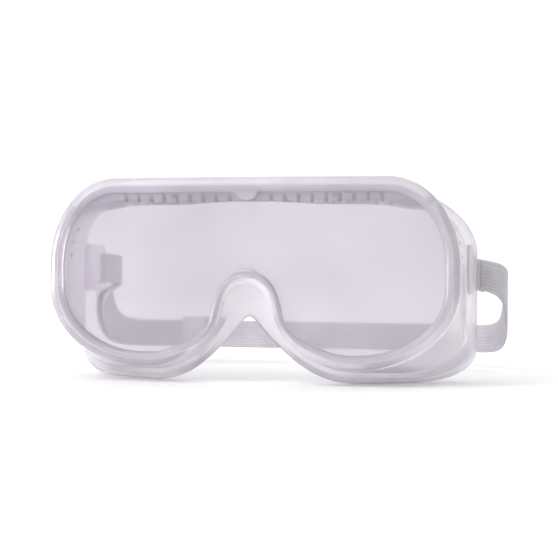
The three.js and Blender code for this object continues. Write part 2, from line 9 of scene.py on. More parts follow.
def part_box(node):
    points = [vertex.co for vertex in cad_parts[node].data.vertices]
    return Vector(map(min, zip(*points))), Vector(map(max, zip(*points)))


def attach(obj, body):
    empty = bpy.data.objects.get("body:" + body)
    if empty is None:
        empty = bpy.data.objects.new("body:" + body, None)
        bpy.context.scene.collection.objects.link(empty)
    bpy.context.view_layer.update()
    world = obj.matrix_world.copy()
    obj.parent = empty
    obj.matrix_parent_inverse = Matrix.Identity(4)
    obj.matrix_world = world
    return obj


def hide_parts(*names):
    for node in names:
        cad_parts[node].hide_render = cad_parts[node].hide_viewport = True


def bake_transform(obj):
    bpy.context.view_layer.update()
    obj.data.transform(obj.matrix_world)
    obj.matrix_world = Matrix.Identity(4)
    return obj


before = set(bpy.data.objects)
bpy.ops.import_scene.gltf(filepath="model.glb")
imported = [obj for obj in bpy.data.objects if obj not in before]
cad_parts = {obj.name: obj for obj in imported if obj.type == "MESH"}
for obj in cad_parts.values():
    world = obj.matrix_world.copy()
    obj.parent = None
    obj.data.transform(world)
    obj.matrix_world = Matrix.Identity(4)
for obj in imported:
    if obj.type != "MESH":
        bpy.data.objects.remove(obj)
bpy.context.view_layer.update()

MM = 0.001

# ---- Sizes, in millimetres from the middle of the face seat ------------------------------------

LIP_HALF, LIP_TOP, LIP_BOTTOM = 79.0, 37.0, 34.5
BROW_HALF, LOBE_X, LOBE_FLAT = 52.5, 41.0, 3.0
NOSE_TOP, NOSE_SIDE_X, NOSE_SIDE_Z = -3.2, 10.8, -16.5
FLANGE_HALF, FLANGE_TOP, FLANGE_BOTTOM = 82.5, 36.4, 40.2
FLANGE_BROW_HALF, TEMPLE_TOP, TEMPLE_BOTTOM = 43.0, 10.0, -28.0
FOOT_INNER_X, FOOT_OUTER_X = 40.0, 60.0
NOTCH_TOP, NOTCH_SIDE_X, NOTCH_SIDE_Z = -15.0, 9.0, -24.0
LENS_SETBACK, LENS_RADIUS, FACE_RADIUS = 10.0, 760.0, 104.0
NOSE_FORWARD, NOSE_FORWARD_SPREAD = 3.0, 20.0
LIP_BAND, LIP_RISE, LIP_BACK = 5.6, 2.2, 3.4
NOSE_THINNING, NOSE_THINNING_SPREAD = 0.46, 9.0
WALL, WALL_INSET, GROOVE_DEPTH, FLARE, FLANGE_EDGE = 2.0, 1.2, 2.8, 3.0, 1.2
BROW_STEP, BROW_SLOPE, BROW_DIP, BROW_DEEPEST, BROW_DIP_FROM = 2.2, 0.7, 5.5, 0.5, 25.0
LENS_THICKNESS = 1.0
GROOVE_GAP, SLOT_GAP, LENS_CLEARANCE = 0.12, 0.3, 0.3
LENS_CUT_HALF, LENS_CUTS = 74.5, 75
TONGUE_HALF, TONGUE_EDGE = 5.0, 0.35
VENT_RADIUS, VENT_PITCH, VENT_FIRST_X, VENT_COUNT = 0.85, 5.2, 8, 9
VENT_ROW_BACK, VENT_REAR_ROW_BACK, VENT_REAR_ROW_FROM = 6.6, 11.2, 4
SIDE_VENT_COUNT, SIDE_VENT_Z, SIDE_VENT_BACK = 3, 8, 16
DRILL_REACH, SIDE_DRILL_FROM, SIDE_DRILL_TO = 11, 68, 90
LUG_X, LUG_Z, LUG_THICKNESS = 78.5, 3.5, 2.4
LUG_MARGIN, LUG_REACH, LUG_ROOT, LUG_BAR, LUG_EDGE = 3.2, 16.0, 7.0, 3.0, 0.45
SLOT_LENGTH, SLOT_CORNER, SLOT_OVERRUN = 4.0, 0.7, 2
BAND_WIDTH, BAND_THICKNESS = 12.5, 1.1
BAND_BULGE_X, BAND_BULGE_BACK = 93.0, 25.0
BAND_REAR_BACK, BAND_REAR_HALF, BAND_DROP = 60.0, 62.0, 30.3
BAND_LEVEL, BAND_LANDING = 0.78, 0.24
BULGE_EASE, REAR_ROUND, REAR_TURN = 0.45, 0.42, 0.6
LAYER_SPACING, SEWN_END, TAIL_PAST_SLIDER = 3.0, 14.0, 41.0
SEWN_TIP, SEWN_SPACING, TACK_PLACE = 8.0, 1.25, 0.3
FOLD_RADIUS = 1.5
SLIDER_X = -55.0

lens_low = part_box("lens")[0]
frame_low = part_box("frame")[0]
SEAT_Y = lens_low.y / MM + LENS_SETBACK
SEAT_Z = frame_low.z / MM + FLANGE_BOTTOM


def row(p):
    """A point of the seat's frame, in millimetres, as metres in the row frame."""
    return (p[0] * MM, (p[1] + SEAT_Y) * MM, (p[2] + SEAT_Z) * MM)


# ---- Mesh helpers ------------------------------------------------------------------------------

def new_object(name, mesh):
    obj = bpy.data.objects.new(name, mesh)
    bpy.context.scene.collection.objects.link(obj)
    return obj


def smooth(mesh):
    mesh.polygons.foreach_set("use_smooth", [True] * len(mesh.polygons))


def grid_mesh(name, points, close_u=True):
    """A quad mesh over points[u][v], closed along v, in the row frame's metres."""
    nu, nv = len(points), len(points[0])
    verts = [row(p) for line in points for p in line]
    faces = []
    for u in range(nu if close_u else nu - 1):
        for v in range(nv):
            a, b = u * nv + v, u * nv + (v + 1) % nv
            c, d = ((u + 1) % nu) * nv + (v + 1) % nv, ((u + 1) % nu) * nv + v
            faces.append((a, b, c, d))
    mesh = bpy.data.meshes.new(name)
    mesh.from_pydata(verts, [], faces)
    mesh.update()
    return mesh


def outward(mesh):
    bm = bmesh.new()
    bm.from_mesh(mesh)
    bmesh.ops.remove_doubles(bm, verts=bm.verts, dist=1e-7)
    bmesh.ops.recalc_face_normals(bm, faces=bm.faces)
    bm.to_mesh(mesh)
    bm.free()
    mesh.update()
    return mesh


def apply_modifiers(obj):
    bpy.context.view_layer.update()
    graph = bpy.context.evaluated_depsgraph_get()
    mesh = bpy.data.meshes.new_from_object(obj.evaluated_get(graph))
    obj.modifiers.clear()
    obj.data = mesh


def boolean(obj, other, operation):
    modifier = obj.modifiers.new("cut", "BOOLEAN")
    modifier.operation = operation
    modifier.solver = "EXACT"
    modifier.object = other
    apply_modifiers(obj)
    bpy.data.objects.remove(other)


def sharpen(obj, angle):
    """Smooth faces, with the edges steeper than this angle left sharp."""
    mesh = obj.data
    smooth(mesh)
    bm = bmesh.new()
    bm.from_mesh(mesh)
    for edge in bm.edges:
        if len(edge.link_faces) == 2:
            edge.smooth = edge.calc_face_angle(0) < math.radians(angle)
    bm.to_mesh(mesh)
    bm.free()


# ---- The goggles' outlines, as in the CAD ------------------------------------------------------

def line_to(a, b):
    return lambda t: (a[0] + (b[0] - a[0]) * t, a[1] + (b[1] - a[1]) * t)


def curve_to(a, b, c, d):
    def at(t):
        s = 1 - t
        return tuple(
            s ** 3 * a[k] + 3 * s * s * t * b[k] + 3 * s * t * t * c[k] + t ** 3 * d[k]
            for k in range(2)
        )
    return at


ROUNDNESS, FOOT_ROUNDNESS = 0.55, 0.6
SHOULDER, LOBE_HANDLE = 4.0, 14
LIP_NOSE_BELOW, LIP_NOSE_ABOVE, LIP_NOSE_TOP_X = (3.5, -9.5), (-1.5, 5), -2.5
NOTCH_BELOW, NOTCH_ABOVE, NOTCH_TOP_X = (9, -9), (-5, 5), -7
STEPS = [40, 44, 10, 50, 14, 56, 40]


def lip_curves():
    corner, r = LIP_HALF - BROW_HALF, ROUNDNESS
    return [
        line_to((0, LIP_TOP), (BROW_HALF, LIP_TOP)),
        curve_to((BROW_HALF, LIP_TOP), (BROW_HALF + corner * r, LIP_TOP),
                 (LIP_HALF, SHOULDER + (LIP_TOP - SHOULDER) * r), (LIP_HALF, SHOULDER)),
        line_to((LIP_HALF, SHOULDER), (LIP_HALF, -SHOULDER)),
        curve_to((LIP_HALF, -SHOULDER), (LIP_HALF, -SHOULDER - (LIP_BOTTOM - SHOULDER) * r),
                 (LOBE_X + (LIP_HALF - LOBE_X) * r, -LIP_BOTTOM), (LOBE_X, -LIP_BOTTOM)),
        line_to((LOBE_X, -LIP_BOTTOM), (LOBE_X - LOBE_FLAT, -LIP_BOTTOM)),
        curve_to((LOBE_X - LOBE_FLAT, -LIP_BOTTOM), (LOBE_X - LOBE_HANDLE, -LIP_BOTTOM),
                 (NOSE_SIDE_X + LIP_NOSE_BELOW[0], NOSE_SIDE_Z + LIP_NOSE_BELOW[1]),
                 (NOSE_SIDE_X, NOSE_SIDE_Z)),
        curve_to((NOSE_SIDE_X, NOSE_SIDE_Z),
                 (NOSE_SIDE_X + LIP_NOSE_ABOVE[0], NOSE_SIDE_Z + LIP_NOSE_ABOVE[1]),
                 (NOSE_SIDE_X + LIP_NOSE_TOP_X, NOSE_TOP), (0, NOSE_TOP)),
    ]


def flange_curves():
    side, r = FLANGE_HALF, ROUNDNESS
    return [
        line_to((0, FLANGE_TOP), (FLANGE_BROW_HALF, FLANGE_TOP)),
        curve_to((FLANGE_BROW_HALF, FLANGE_TOP),
                 (FLANGE_BROW_HALF + (side - FLANGE_BROW_HALF) * r, FLANGE_TOP),
                 (side, TEMPLE_TOP + (FLANGE_TOP - TEMPLE_TOP) * r), (side, TEMPLE_TOP)),
        line_to((side, TEMPLE_TOP), (side, TEMPLE_BOTTOM)),
        curve_to((side, TEMPLE_BOTTOM),
                 (side, TEMPLE_BOTTOM - (FLANGE_BOTTOM + TEMPLE_BOTTOM) * FOOT_ROUNDNESS),
                 (FOOT_OUTER_X + (side - FOOT_OUTER_X) * FOOT_ROUNDNESS, -FLANGE_BOTTOM),
                 (FOOT_OUTER_X, -FLANGE_BOTTOM)),
        line_to((FOOT_OUTER_X, -FLANGE_BOTTOM), (FOOT_INNER_X, -FLANGE_BOTTOM)),
        curve_to((FOOT_INNER_X, -FLANGE_BOTTOM), (FOOT_INNER_X - LOBE_HANDLE, -FLANGE_BOTTOM),
                 (NOTCH_SIDE_X + NOTCH_BELOW[0], NOTCH_SIDE_Z + NOTCH_BELOW[1]),
                 (NOTCH_SIDE_X, NOTCH_SIDE_Z)),
        curve_to((NOTCH_SIDE_X, NOTCH_SIDE_Z),
                 (NOTCH_SIDE_X + NOTCH_ABOVE[0], NOTCH_SIDE_Z + NOTCH_ABOVE[1]),
                 (NOTCH_SIDE_X + NOTCH_TOP_X, NOTCH_TOP), (0, NOTCH_TOP)),
    ]


def softened(a, passes):
    for _ in range(passes):
        a = 0.25 * np.roll(a, 1, 0) + 0.5 * a + 0.25 * np.roll(a, -1, 0)
    return a


def ring(curves, passes):
    points = [curves[0](0)]
    for curve, steps in zip(curves, STEPS):
        points += [curve(i / steps) for i in range(1, steps + 1)]
    points += [(-x, z) for x, z in points[1:-1][::-1]]
    points = softened(np.array(points), passes)
    along = np.roll(points, -1, 0) - np.roll(points, 1, 0)
    along /= np.linalg.norm(along, axis=1)[:, None]
    normals = softened(np.stack([-along[:, 1], along[:, 0]], 1), 6)
    return points, normals / np.linalg.norm(normals, axis=1)[:, None]


lip, lip_normal = ring(lip_curves(), 2)
flange, flange_normal = ring(flange_curves(), 2)
STATIONS = len(lip)


def bow(x, radius):
    return radius - np.sqrt(radius * radius - x * x)


def lens_front(x):
    return bow(x, LENS_RADIUS) - LENS_SETBACK


def face_seat(x, z):
    t = np.clip((z - NOTCH_TOP) / (-2 * NOTCH_TOP), 0, 1)
    low = 1 - t * t * (3 - 2 * t)
    return bow(x, FACE_RADIUS) - NOSE_FORWARD * low * np.exp(-(x / NOSE_FORWARD_SPREAD) ** 2)


def lip_share(point):
    x, z = point
    away = (abs(x) - NOSE_SIDE_X - 2) / NOSE_THINNING_SPREAD
    full = np.clip((z - NOSE_TOP) / 4, 0, 1)
    return 1 - NOSE_THINNING * math.exp(-away * away) * (1 - full * full * (3 - 2 * full))


SHARES = softened(np.array([lip_share(p) for p in lip]), 8)


# ---- Vinyl frame -------------------------------------------------------------------------------

def wall_out(along):
    """How far outside the outline the wall's outer face lies, from lip to flange."""
    marks = [0, 0.5, 0.78, 0.93, 1.0]
    outs = [-WALL_INSET, -WALL_INSET - FLARE * 0.25, -WALL_INSET - FLARE * 0.4, -FLARE * 0.5, 0]
    return float(np.interp(along, marks, outs))


def section():
    """The frame's section: along the wall, outside the outline, behind the surface, under it."""
    band, rise, back = LIP_BAND, LIP_RISE, LIP_BACK
    s = [
        (0, -band, -0.1, 0), (0, -band + 0.08, -0.75, 0), (0, -band + 0.35, -1.3, 0),
        (0, -band + 0.8, -1.75, 0), (0, -band + 1.4, -2.05, 0), (0, -band + 2.2, -rise, 0),
        (0, -band + 3.1, -rise - 0.02, 0), (0, -band + 3.9, -2.0, 0), (0, -0.95, -1.6, 0),
        (0, -0.45, -1.05, 0), (0, -0.12, -0.35, 0), (0, 0, 0.5, 0), (0, 0, 1.5, 0),
        (0, -0.03, 2.3, 0), (0, -0.2, 2.95, 0), (0, -0.6, 3.4, 0),
        (0.012, -1.02, 0.35, 0), (0.04, wall_out(0.04), 0.1, 0),
    ]
    for along in (0.1, 0.18, 0.27, 0.36, 0.45, 0.54, 0.63, 0.71, 0.78, 0.84, 0.89, 0.93, 0.96, 0.98):
        s.append((along, wall_out(along), 0, 0))
    s += [(0.99, -0.14, -0.5, 0), (1, -0.02, -FLANGE_EDGE, 0), (1, 0, -0.95, 0), (1, 0, -0.3, 0),
          (1, -0.08, -0.08, 0), (1, -0.3, 0, 0), (0.99, -0.6, 0, 0.4), (0.975, -0.75, 0, 0.8)]
    inner = [(0.955, 1.0), (0.93, 1.2), (0.89, 1.5), (0.84, 1.8)]
    inner += [(along, WALL) for along in (0.78, 0.71, 0.63, 0.54, 0.45, 0.36, 0.27, 0.18, 0.1)]
    for along, under in inner:
        s.append((along, wall_out(along), 0, under))
    s += [(0.03, wall_out(0.03), 0.2, WALL), (0, -WALL_INSET - 0.3, back + 0.45, WALL),
          (0, -band + 0.7, back + 0.3, 0), (0, -band + 0.2, back + 0.1, 0), (0, -band, back - 0.4, 0),
          (0, -band, LENS_THICKNESS + 0.6, 0), (0, -band, LENS_THICKNESS + GROOVE_GAP, 0),
          (0, -band + GROOVE_DEPTH, LENS_THICKNESS + GROOVE_GAP, 0),
          (0, -band + GROOVE_DEPTH, -GROOVE_GAP, 0)]
    return s


def smoothstep(value, low, high):
    t = min(max((value - low) / (high - low), 0), 1)
    return t * t * (3 - 2 * t)


def brow_dip(i, along, length):
    """The brow's wall sinks behind the lip and then rises to the flange."""
    if along == 0:
        return 0
    fall = min(BROW_STEP + BROW_SLOPE * min(along, BROW_DEEPEST) * length, BROW_DIP)
    share = smoothstep(lip[i][1], BROW_DIP_FROM, LIP_TOP - 0.5)
    return share * fall * (1 - smoothstep(along, BROW_DEEPEST, 1))


def section_point(i, along, out, behind, under):
    share = SHARES[i] + (1 - SHARES[i]) * along
    point = lip[i] + (flange[i] - lip[i]) * along
    normal = lip_normal[i] + (flange_normal[i] - lip_normal[i]) * along
    normal = normal / np.linalg.norm(normal)
    spread = float((flange[i] - lip[i]) @ normal)
    run = float(face_seat(point[0], point[1]) - lens_front(point[0]))
    length = math.hypot(spread, run)
    dip = brow_dip(i, along, run - LIP_BACK)
    point = point + normal * (out * share - dip - under * run / length)
    root = lens_front(point[0]) + (LIP_BACK if along > 0 else 0)
    depth = root + (face_seat(point[0], point[1]) - root) * along
    return (point[0], depth + behind + under * spread / length, point[1])


def frame_shell():
    profile = section()
    points = [[section_point(i, *corner) for corner in profile] for i in range(STATIONS)]
    return new_object("vinyl_frame", outward(grid_mesh("vinyl_frame", points)))


def plate(name, outline, place, thickness, bevel):
    """A plate from a flat outline, with rounded edges; place puts (a, b, depth) in the seat's frame."""
    bm = bmesh.new()
    face = bm.faces.new([bm.verts.new((a, b, 0)) for a, b in outline])
    bm.faces.ensure_lookup_table()
    top = bmesh.ops.extrude_face_region(bm, geom=[face])
    lifted = [v for v in top["geom"] if isinstance(v, bmesh.types.BMVert)]
    bmesh.ops.translate(bm, verts=lifted, vec=(0, 0, thickness))
    bmesh.ops.recalc_face_normals(bm, faces=bm.faces)
    rims = [e for e in bm.edges if len(e.link_faces) == 2
            and len(e.link_faces[0].verts) != len(e.link_faces[1].verts)]
    if bevel:
        bmesh.ops.bevel(bm, geom=rims, offset=bevel, segments=3, profile=0.5, affect="EDGES")
    for vert in bm.verts:
        vert.co = row(place(*vert.co))
    bmesh.ops.recalc_face_normals(bm, faces=bm.faces)
    mesh = bpy.data.meshes.new(name)
    bm.to_mesh(mesh)
    bm.free()
    return new_object(name, mesh)


TEMPLE_Y = float(face_seat(LUG_X, LUG_Z))
LUG_END = TEMPLE_Y + LUG_REACH
SLOT_BACK = LUG_END - LUG_BAR
LUG_HALF = BAND_WIDTH / 2 + SLOT_GAP + LUG_MARGIN


def arc(cx, cy, rx, ry, start, end, steps):
    turn = [math.radians(start + (end - start) * i / steps) for i in range(steps + 1)]
    return [(cx + rx * math.cos(t), cy + ry * math.sin(t)) for t in turn]


def rounded(low, high, r, steps):
    """A rounded rectangle, anticlockwise."""
    (x0, y0), (x1, y1) = low, high
    return (arc(x1 - r, y0 + r, r, r, -90, 0, steps) + arc(x1 - r, y1 - r, r, r, 0, 90, steps)
            + arc(x0 + r, y1 - r, r, r, 90, 180, steps) + arc(x0 + r, y0 + r, r, r, 180, 270, steps))


def lug(hand):
    half = LUG_HALF
    x = hand * LUG_X - LUG_THICKNESS / 2
    place = lambda a, b, c: (x + c, a, b)
    outline = rounded((TEMPLE_Y - LUG_ROOT, LUG_Z - half), (LUG_END, LUG_Z + half), LUG_MARGIN, 8)
    ear = plate("ear", outline, place, LUG_THICKNESS, LUG_EDGE)
    slot_half = BAND_WIDTH / 2 + SLOT_GAP
    slot = rounded((SLOT_BACK - SLOT_LENGTH, LUG_Z - slot_half), (SLOT_BACK, LUG_Z + slot_half),
                   SLOT_CORNER, 4)
    hole = plate("slot", slot, lambda a, b, c: (x - SLOT_OVERRUN + c, a, b),
                 LUG_THICKNESS + 2 * SLOT_OVERRUN, 0)
    boolean(ear, hole, "DIFFERENCE")
    return ear


def tongue(border, reach, way, thick):
    root = border - way * LIP_BAND * 0.4
    height = abs(border + way * reach - root)
    outline = arc(0, root, TONGUE_HALF, height, 180 if way < 0 else 0, 360 if way < 0 else 180, 28)
    back = float(lens_front(0)) - GROOVE_GAP
    return plate("tongue", outline, lambda a, b, c: (a, back - thick + c, b), thick, TONGUE_EDGE)


def vent(a, b):
    """A drill from point a to b of the seat's frame."""
    bm = bmesh.new()
    bmesh.ops.create_cone(bm, cap_ends=True, segments=18, radius1=VENT_RADIUS * MM,
                          radius2=VENT_RADIUS * MM, depth=(Vector(b) - Vector(a)).length * MM)
    turn = (Vector(b) - Vector(a)).to_track_quat("Z", "Y").to_matrix().to_4x4()
    middle = Matrix.Translation(Vector(row((Vector(a) + Vector(b)) / 2)))
    bmesh.ops.transform(bm, matrix=middle @ turn, verts=bm.verts)
    return bm


def vents():
    drills = []
    for side in (-1, 1):
        for i in range(VENT_COUNT):
            x = side * (VENT_FIRST_X + i * VENT_PITCH)
            y = float(lens_front(x)) + VENT_ROW_BACK
            drills.append(vent((x, y, LIP_TOP - DRILL_REACH), (x, y, LIP_TOP + DRILL_REACH)))
            if i >= VENT_REAR_ROW_FROM:
                x += side * VENT_PITCH / 2
                y = float(lens_front(x)) + VENT_REAR_ROW_BACK
                drills.append(vent((x, y, LIP_TOP - DRILL_REACH), (x, y, LIP_TOP + DRILL_REACH)))
        for i in range(SIDE_VENT_COUNT):
            y, z = float(lens_front(LIP_HALF)) + SIDE_VENT_BACK, SIDE_VENT_Z + i * VENT_PITCH
            drills.append(vent((side * SIDE_DRILL_FROM, y, z), (side * SIDE_DRILL_TO, y, z)))
    whole = bmesh.new()
    for drill in drills:
        part = bpy.data.meshes.new("drill")
        drill.to_mesh(part)
        drill.free()
        whole.from_mesh(part)
        bpy.data.meshes.remove(part)
    # The drills' faces take slot 1, which holds the vent walls' painted shade.
    for face in whole.faces:
        face.material_index = 1
    mesh = bpy.data.meshes.new("drills")
    whole.to_mesh(mesh)
    whole.free()
    for place in ("outside", "hole_wall"):
        mesh.materials.append(bpy.data.materials.new(place))
    return new_object("drills", mesh)


vinyl_frame = frame_shell()
extras = [
    tongue(border=LIP_TOP - LIP_BAND, reach=3.2, way=-1, thick=1.5),
    tongue(border=NOSE_TOP + LIP_BAND * 0.9, reach=1.0, way=1, thick=1.1),
    lug(1), lug(-1),
]
for extra in extras:
    boolean(vinyl_frame, extra, "UNION")
# Slot 1 will hold the near-black painted shade of the vent hole walls.
for place in ("outside", "hole_wall"):
    vinyl_frame.data.materials.append(bpy.data.materials.new(place))
boolean(vinyl_frame, vents(), "DIFFERENCE")
sharpen(vinyl_frame, 38)

# ---- Lens --------------------------------------------------------------------------------------

def lens_piece():
    inset = (LIP_BAND - GROOVE_DEPTH) * SHARES[:, None] + LENS_CLEARANCE
    edge = (lip - lip_normal * inset)[::2]
    bm = bmesh.new()
    bm.faces.new([bm.verts.new((x, 0, z)) for x, z in edge])
    for x in np.linspace(-LENS_CUT_HALF, LENS_CUT_HALF, LENS_CUTS):
        bmesh.ops.bisect_plane(bm, geom=bm.verts[:] + bm.edges[:] + bm.faces[:], dist=1e-5,
                               plane_co=(x, 0, 0), plane_no=(1, 0, 0))
    top = bmesh.ops.extrude_face_region(bm, geom=bm.faces[:])
    lifted = {v for v in top["geom"] if isinstance(v, bmesh.types.BMVert)}
    for vert in bm.verts:
        x, z = vert.co.x, vert.co.z
        y = float(lens_front(x)) + (LENS_THICKNESS if vert in lifted else 0)
        vert.co = row((x, y, z))
    bmesh.ops.triangulate(bm, faces=bm.faces[:])
    bmesh.ops.recalc_face_normals(bm, faces=bm.faces)
    mesh = bpy.data.meshes.new("clear_window")
    bm.to_mesh(mesh)
    bm.free()
    obj = new_object("clear_window", mesh)
    sharpen(obj, 30)
    return obj


clear_window = lens_piece()

# ---- Elastic headband --------------------------------------------------------------------------

PIVOT_Y = LUG_END + BAND_WIDTH / 2 + 2
LEVEL_START = BAND_WIDTH / 2 + 1
REACH = BAND_REAR_BACK - LAYER_SPACING - BAND_THICKNESS


def loop_half():
    """Half of the loop in plan about its pivots, as dense points with x outward and y back."""
    easy = (BAND_BULGE_BACK - LEVEL_START) * BULGE_EASE
    round_ = (BAND_REAR_BACK - BAND_BULGE_BACK) * REAR_ROUND
    turn = (BAND_BULGE_X - BAND_REAR_HALF) * REAR_TURN
    pieces = [
        (line_to((LUG_X, 0), (LUG_X, LEVEL_START)), 8),
        (curve_to((LUG_X, LEVEL_START), (LUG_X, LEVEL_START + easy),
                  (BAND_BULGE_X, BAND_BULGE_BACK - easy), (BAND_BULGE_X, BAND_BULGE_BACK)), 60),
        (curve_to((BAND_BULGE_X, BAND_BULGE_BACK), (BAND_BULGE_X, BAND_BULGE_BACK + round_),
                  (BAND_REAR_HALF + turn, BAND_REAR_BACK), (BAND_REAR_HALF, BAND_REAR_BACK)), 80),
        (line_to((BAND_REAR_HALF, BAND_REAR_BACK), (0, BAND_REAR_BACK)), 60),
    ]
    points = [pieces[0][0](0)]
    for curve, steps in pieces:
        points += [curve(i / steps) for i in range(1, steps + 1)]
    return np.array(points)


def lengths(points):
    step = np.linalg.norm(np.diff(points, axis=0), axis=1)
    return np.concatenate([[0], np.cumsum(step)])


def plan_normals(points):
    along = np.gradient(points, axis=0)
    along /= np.linalg.norm(along, axis=1)[:, None]
    return np.stack([along[:, 1], -along[:, 0]], 1)


HALF = loop_half()
HALF_RUN = lengths(HALF)
HALF_NORMAL = plan_normals(HALF)


def half_layer(start, end, inside):
    """Points of half a loop between two lengths from the pivot; inside is a function of the length."""
    runs = np.arange(start, end, 0.8)
    runs = np.append(runs, end)
    place = np.stack([np.interp(runs, HALF_RUN, HALF[:, k]) for k in range(2)], 1)
    normal = np.stack([np.interp(runs, HALF_RUN, HALF_NORMAL[:, k]) for k in range(2)], 1)
    normal /= np.linalg.norm(normal, axis=1)[:, None]
    depth = np.array([inside(r) for r in runs])
    return place - normal * depth[:, None]


def even(points, step, passes):
    """The same path with evenly spaced points and softened corners; its ends stay."""
    run = lengths(points)
    count = max(8, int(run[-1] / step))
    marks = np.linspace(0, run[-1], count + 1)
    path = np.stack([np.interp(marks, run, points[:, k]) for k in range(2)], 1)
    for _ in range(passes):
        path[1:-1] = 0.25 * path[:-2] + 0.5 * path[1:-1] + 0.25 * path[2:]
    return path


SINK_BEYOND = 40
SINK_T = np.linspace(0, 1, 241)
SINK_Y = REACH * (3 * (1 - SINK_T) ** 2 * SINK_T * BAND_LEVEL
                  + 3 * (1 - SINK_T) * SINK_T ** 2 * BAND_LANDING + SINK_T ** 3)
SINK_Z = -BAND_DROP * (3 * (1 - SINK_T) * SINK_T ** 2 + SINK_T ** 3)
SINK_Y = np.concatenate([[-SINK_BEYOND], SINK_Y, [REACH + SINK_BEYOND]])
SINK_Z = np.concatenate([[0], SINK_Z, [-BAND_DROP]])
SINK_TILT = np.arctan2(np.gradient(SINK_Z), np.gradient(SINK_Y))
SINK_TILT[[0, 1, -2, -1]] = 0


def sunk(y, v):
    """Height, y behind the pivots, of the line that lies v half-widths off the band's middle."""
    ys = SINK_Y - np.sin(SINK_TILT) * v * BAND_WIDTH / 2
    zs = SINK_Z + np.cos(SINK_TILT) * v * BAND_WIDTH / 2
    return np.interp(y, ys, zs)


LEG = LUG_THICKNESS / 2 + SLOT_GAP + BAND_THICKNESS / 2
FOLD_FRONT = SLOT_BACK - SLOT_GAP - BAND_THICKNESS / 2 - PIVOT_Y


# Lengths from the pivot between which each layer comes from the lug's bar to its own place.
MAIN_CLOSES, SEWN_CLOSES, TAIL_CLOSES = (3, 17), (4, 13), (4, 15)


def fold_path():
    """The turn round the lug's bar, from the inner leg to the outer one, about the pivot."""
    r = FOLD_RADIUS
    inner, outer = LUG_X - LEG, LUG_X + LEG
    return np.array([(inner, 4), (inner, FOLD_FRONT + r)]
                    + arc(inner + r, FOLD_FRONT + r, r, r, 180, 270, 6)
                    + arc(outer - r, FOLD_FRONT + r, r, r, -90, 0, 6)
                    + [(outer, FOLD_FRONT + r), (outer, 3)])


def band_path():
    """The whole elastic in plan, from the sewn end's tip round the loop to the tail's tip."""
    main = lambda run: -LEG * (1 - smoothstep(run, *MAIN_CLOSES))
    sewn = lambda run: SEWN_SPACING + (LEG - SEWN_SPACING) * (1 - smoothstep(run, *SEWN_CLOSES))
    tail = lambda run: LAYER_SPACING + (LEG - LAYER_SPACING) * (1 - smoothstep(run, *TAIL_CLOSES))
    whole = HALF_RUN[-1]
    mirror = np.array([-1, 1])
    end = BAND_WIDTH / 2 + LAYER_SPACING + SEWN_TIP
    tail_end = whole + SLIDER_X + TAIL_PAST_SLIDER
    parts = [
        half_layer(5, end, sewn)[::-1], fold_path(), half_layer(4, whole, main),
        (half_layer(4, whole, main) * mirror)[::-1][1:], (fold_path() * mirror)[::-1],
        half_layer(5, tail_end, tail) * mirror,
    ]
    return even(np.concatenate(parts), 0.7, 3), end


RIB_COUNT, RIB_HEIGHT = 9, 0.09
EDGE_FROM, EDGE_SPAN, EDGE_LEAST = 0.93, 0.07, 0.25
WEAVE_UNIT = 10


def ribs(v):
    """Lengthwise ribs of the woven elastic, as a height from -1 to 1."""
    return math.cos(v * math.pi * RIB_COUNT)


def band_surface(path):
    """Functions that place a point on the band: along the path, across the width, and off its face."""
    normal = plan_normals(path)
    heights = {}

    def at(i, v, off):
        if v not in heights:
            heights[v] = sunk(path[:, 1], v)
        x, y = path[i] + normal[i] * off
        return (x, y + PIVOT_Y, heights[v][i] + LUG_Z)
    return at


band_line, sewn_length = band_path()
band_at = band_surface(band_line)


def band_piece():
    across = np.linspace(-1, 1, 37)
    half = BAND_THICKNESS / 2
    outline = []
    for v in across:
        past = max(0.0, (abs(v) - EDGE_FROM) / EDGE_SPAN)
        edge = math.sqrt(max(0.0, 1 - past ** 2))
        outline.append((v, (half - RIB_HEIGHT + RIB_HEIGHT * ribs(v)) * max(edge, EDGE_LEAST)))
    profile = outline + [(v, -h) for v, h in outline[::-1]]
    points = [[band_at(i, v, h) for v, h in profile] for i in range(len(band_line))]
    mesh = grid_mesh("elastic_headband", points, close_u=False)
    bm = bmesh.new()
    bm.from_mesh(mesh)
    bmesh.ops.holes_fill(bm, edges=[e for e in bm.edges if e.is_boundary])
    bmesh.ops.recalc_face_normals(bm, faces=bm.faces)
    bm.to_mesh(mesh)
    bm.free()
    smooth(mesh)
    uv = mesh.uv_layers.new(name="weave")
    run = lengths(band_line)
    co = [(length / WEAVE_UNIT, v * BAND_WIDTH / (2 * WEAVE_UNIT) + 0.5)
          for length in run for v, _ in profile]
    for loop in mesh.loops:
        uv.data[loop.index].uv = co[loop.vertex_index]
    return new_object("elastic_headband", mesh)


def tube(points, radius, sides=7):
    """A thread along points of the seat's frame."""
    p = np.array(points, float)
    along = np.gradient(p, axis=0)
    along /= np.linalg.norm(along, axis=1)[:, None] + 1e-9
    first = np.cross(along, (0.31, 0.2, 0.93))
    first /= np.linalg.norm(first, axis=1)[:, None] + 1e-9
    second = np.cross(along, first)
    rings = []
    for c, a, b in zip(p, first, second):
        rings.append([tuple(c + radius * (a * math.cos(t) + b * math.sin(t)))
                      for t in np.linspace(0, 2 * math.pi, sides, endpoint=False)])
    return grid_mesh("thread", rings, close_u=False)


TACK_SHIFT, LAYER_STEPS = 2, 30
STITCH_PASSES, STITCH_STEPS, STITCH_HALF, STITCH_WIDTH = 22, 6, 0.86, 1.6
THREAD_RADIUS, THREAD_SINK, THREAD_RISE = 0.17, 0.02, 0.16


